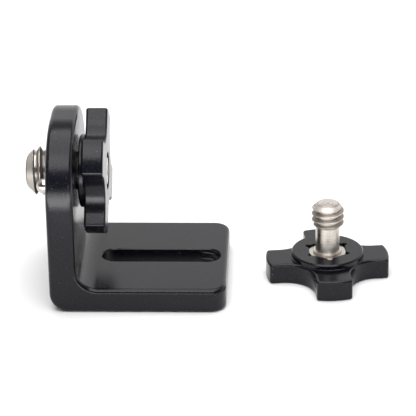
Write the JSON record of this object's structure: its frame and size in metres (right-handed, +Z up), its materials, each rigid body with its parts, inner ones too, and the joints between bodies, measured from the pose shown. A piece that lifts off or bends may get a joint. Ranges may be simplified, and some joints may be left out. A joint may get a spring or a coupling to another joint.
{
  "type": "swivel bracket",
  "caption": "L-shaped rigging bracket: slotted base, upright leg with a captive star-knob thumbscrew and a locating pin, and a loose matching thumbscrew beside it.",
  "frame": {"origin": "middle of the slot in the base, on the base's underside", "axes": "+X along the base, away from the upright leg; +Y across the bracket, away from the locating pin's side; +Z up, from the underside to the leg's rounded top"},
  "size_m": [0.071, 0.0312, 0.0349],
  "materials": {
    "black_anodised_bracket": "bead blasted, black anodised, satin",
    "black_anodised_knob": "bead blasted, black anodised, satin",
    "turned_steel": "turned stainless steel",
    "polished_steel": "polished stainless steel",
    "fastener_steel": "plain stainless steel"
  },
  "bodies": {
    "bracket": {"l_bracket": "black_anodised_bracket", "locating_pin": "polished_steel"},
    "swivel_thumbscrew": {"swivel_knob": "black_anodised_knob", "swivel_stud": "turned_steel", "swivel_washer": "fastener_steel", "swivel_retaining_screw": "fastener_steel"},
    "loose_thumbscrew": {"slot_knob": "black_anodised_knob", "slot_stud": "turned_steel", "slot_washer": "fastener_steel", "slot_retaining_screw": "fastener_steel"}
  },
  "joints": [
    {"name": "swivel_thumbscrew_turn", "type": "hinge", "parent": "bracket", "child": "swivel_thumbscrew", "pos_m": [-0.01825, 0, 0.02307], "axis": [-1, 0, 0], "continuous": true},
    {"name": "loose_thumbscrew_lift", "type": "slide", "parent": "bracket", "child": "loose_thumbscrew", "axis": [0, 0, 1], "range_m": [0, 0.04]}
  ]
}
